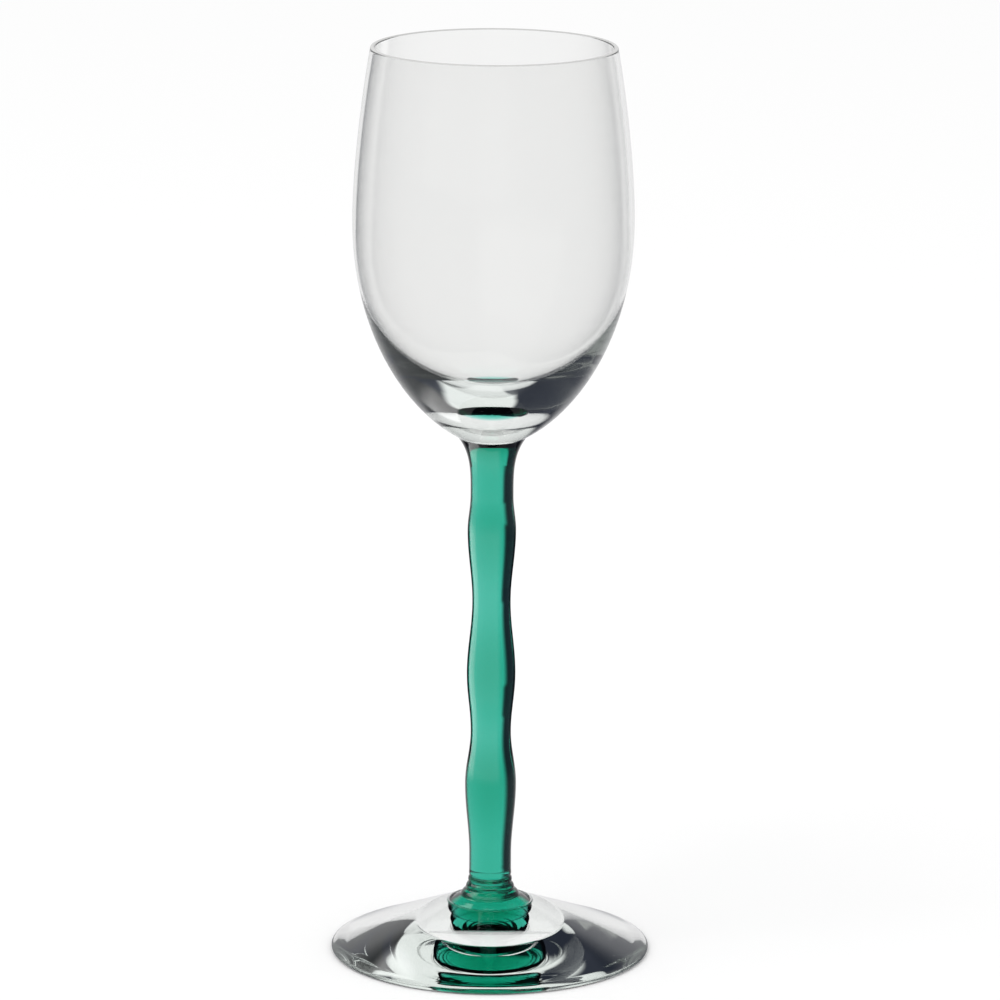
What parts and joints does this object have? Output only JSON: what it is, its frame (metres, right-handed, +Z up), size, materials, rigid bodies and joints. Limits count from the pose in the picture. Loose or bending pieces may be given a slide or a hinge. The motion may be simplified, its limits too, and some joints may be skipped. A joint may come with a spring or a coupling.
{
  "type": "white wine glass",
  "caption": "Stemmed wine glass: a clear tulip-shaped bowl on a solid wavy green stem with a clear cone-shaped foot, for serving white wine.",
  "frame": {"origin": "centre of the foot, on the surface that the glass stands on", "axes": "+Z up along the axis that all pieces are turned about; X and Y are alike, because the glass is round"},
  "size_m": [0.0732, 0.0732, 0.21],
  "materials": {
    "clear_glass": "polished, colourless",
    "green_glass": "polished, emerald green all through"
  },
  "bodies": {
    "root": {"bowl": "clear_glass", "stem": "green_glass", "foot": "clear_glass"}
  },
  "joints": []
}
